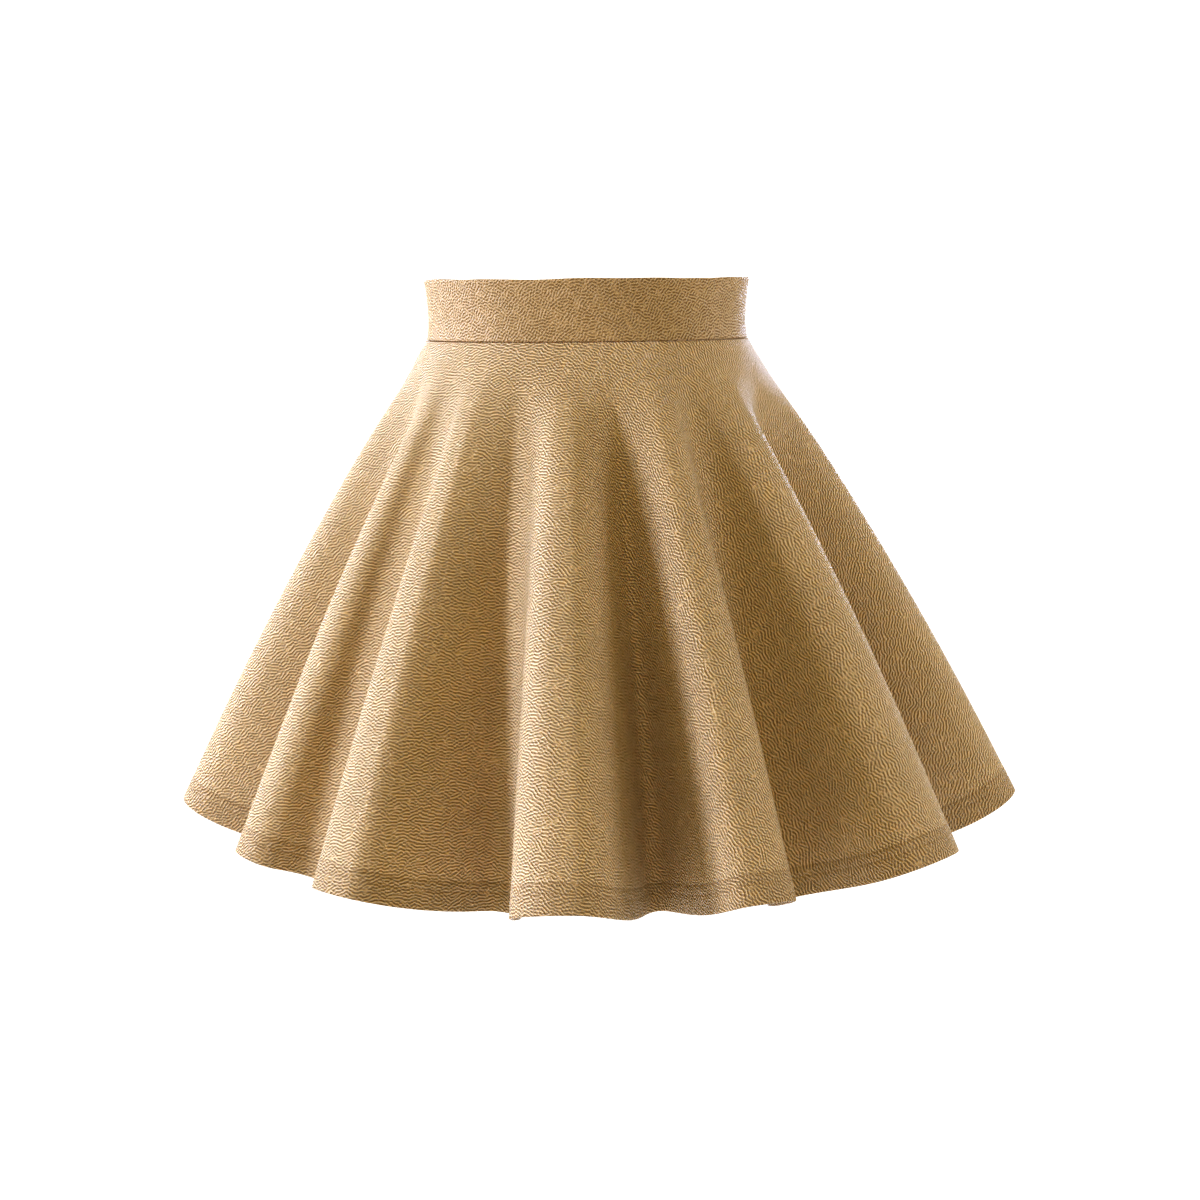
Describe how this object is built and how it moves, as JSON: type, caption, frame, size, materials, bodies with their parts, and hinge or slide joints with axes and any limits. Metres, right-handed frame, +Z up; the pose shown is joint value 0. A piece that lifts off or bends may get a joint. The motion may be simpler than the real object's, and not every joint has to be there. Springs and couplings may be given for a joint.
{
  "type": "circle skirt",
  "caption": "Flared circle skirt in crepe knit on a wide plain waistband, worn shape, hollow, open at waist and hem.",
  "frame": {"origin": "centre of the waist opening, half way up the waistband, where the wearer holds the skirt up", "axes": "+Z up along the wearer's body, +X to the wearer's left, the front of the skirt faces -Y"},
  "size_m": [0.6557, 0.5126, 0.4526],
  "materials": {
    "skirt_cloth": "tan crepe knit with a soft satin sheen",
    "waistband_cloth": "the same crepe knit, folded double over elastic"
  },
  "bodies": {
    "root": {"skirt_front": "skirt_cloth", "skirt_back": "skirt_cloth", "waistband_front": "waistband_cloth", "waistband_back": "waistband_cloth"}
  },
  "joints": []
}
